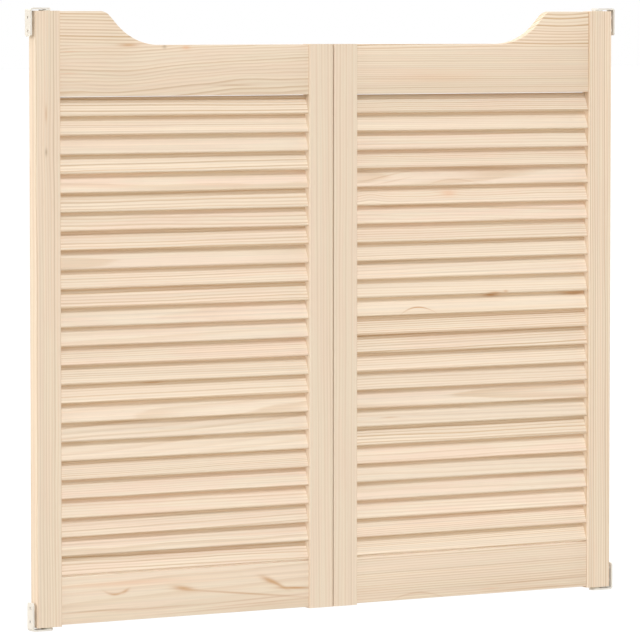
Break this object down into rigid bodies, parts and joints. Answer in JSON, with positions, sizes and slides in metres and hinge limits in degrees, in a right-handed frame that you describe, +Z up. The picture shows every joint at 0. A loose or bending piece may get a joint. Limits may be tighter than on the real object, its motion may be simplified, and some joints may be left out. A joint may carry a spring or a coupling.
{
  "type": "cafe swinging doors",
  "caption": "Pair of louvred pine cafe doors with an S-curved top, each leaf swinging both ways on spring-returned pivots between two door jambs.",
  "frame": {"origin": "underside of the lower jamb brackets, midway between the two jambs and midway through the thickness of the closed leaves", "axes": "+X across the opening, +Y from the front face to the back, +Z up"},
  "size_m": [1.013, 0.021, 0.9097],
  "materials": {
    "pine_board": "planed and sanded clear pine, unfinished",
    "pine_slat": "moulded pine slat, unfinished",
    "beech_dowel": "turned beech, glued",
    "zinc_plated_steel": "pressed steel, bright zinc plated",
    "bright_steel": "drawn steel, riveted at one end",
    "spring_steel": "oiled music wire",
    "nylon": "natural nylon, moulded"
  },
  "bodies": {
    "jamb_hardware": {"left_lower_bracket": "zinc_plated_steel", "left_upper_bracket": "zinc_plated_steel", "left_lower_pivot_pin": "bright_steel", "left_upper_pivot_pin": "bright_steel", "left_thrust_washer": "nylon", "left_return_spring": "spring_steel", "right_lower_bracket": "zinc_plated_steel", "right_upper_bracket": "zinc_plated_steel", "right_lower_pivot_pin": "bright_steel", "right_upper_pivot_pin": "bright_steel", "right_thrust_washer": "nylon", "right_return_spring": "spring_steel"},
    "left_leaf": {"left_lower_bush": "nylon", "left_upper_bush": "nylon", "left_hinge_stile": "pine_board", "left_meeting_stile": "pine_board", "left_bottom_rail": "pine_board", "left_top_rail": "pine_board", "left_rail_dowels": "beech_dowel", "left_slat_01_02": "pine_slat", "left_slat_03_04": "pine_slat", "left_slat_05_06": "pine_slat", "left_slat_07_08": "pine_slat", "left_slat_09_10": "pine_slat", "left_slat_11_12": "pine_slat", "left_slat_13_14": "pine_slat", "left_slat_15_16": "pine_slat", "left_slat_17_18": "pine_slat", "left_slat_19_20": "pine_slat", "left_slat_21_22": "pine_slat", "left_slat_23_24": "pine_slat", "left_slat_25": "pine_slat"},
    "right_leaf": {"right_lower_bush": "nylon", "right_upper_bush": "nylon", "right_hinge_stile": "pine_board", "right_meeting_stile": "pine_board", "right_bottom_rail": "pine_board", "right_top_rail": "pine_board", "right_rail_dowels": "beech_dowel", "right_slat_01_02": "pine_slat", "right_slat_03_04": "pine_slat", "right_slat_05_06": "pine_slat", "right_slat_07_08": "pine_slat", "right_slat_09_10": "pine_slat", "right_slat_11_12": "pine_slat", "right_slat_13_14": "pine_slat", "right_slat_15_16": "pine_slat", "right_slat_17_18": "pine_slat", "right_slat_19_20": "pine_slat", "right_slat_21_22": "pine_slat", "right_slat_23_24": "pine_slat", "right_slat_25": "pine_slat"}
  },
  "joints": [
    {"name": "left_leaf_swing", "type": "hinge", "parent": "jamb_hardware", "child": "left_leaf", "pos_m": [-0.4795, 0, 0], "axis": [0, 0, 1], "range_deg": [-90, 90], "stiffness_Nm_per_rad": 0.4, "deforming": ["left_return_spring"]},
    {"name": "right_leaf_swing", "type": "hinge", "parent": "jamb_hardware", "child": "right_leaf", "pos_m": [0.4795, 0, 0], "axis": [0, 0, 1], "range_deg": [-90, 90], "stiffness_Nm_per_rad": 0.4, "deforming": ["right_return_spring"]}
  ]
}
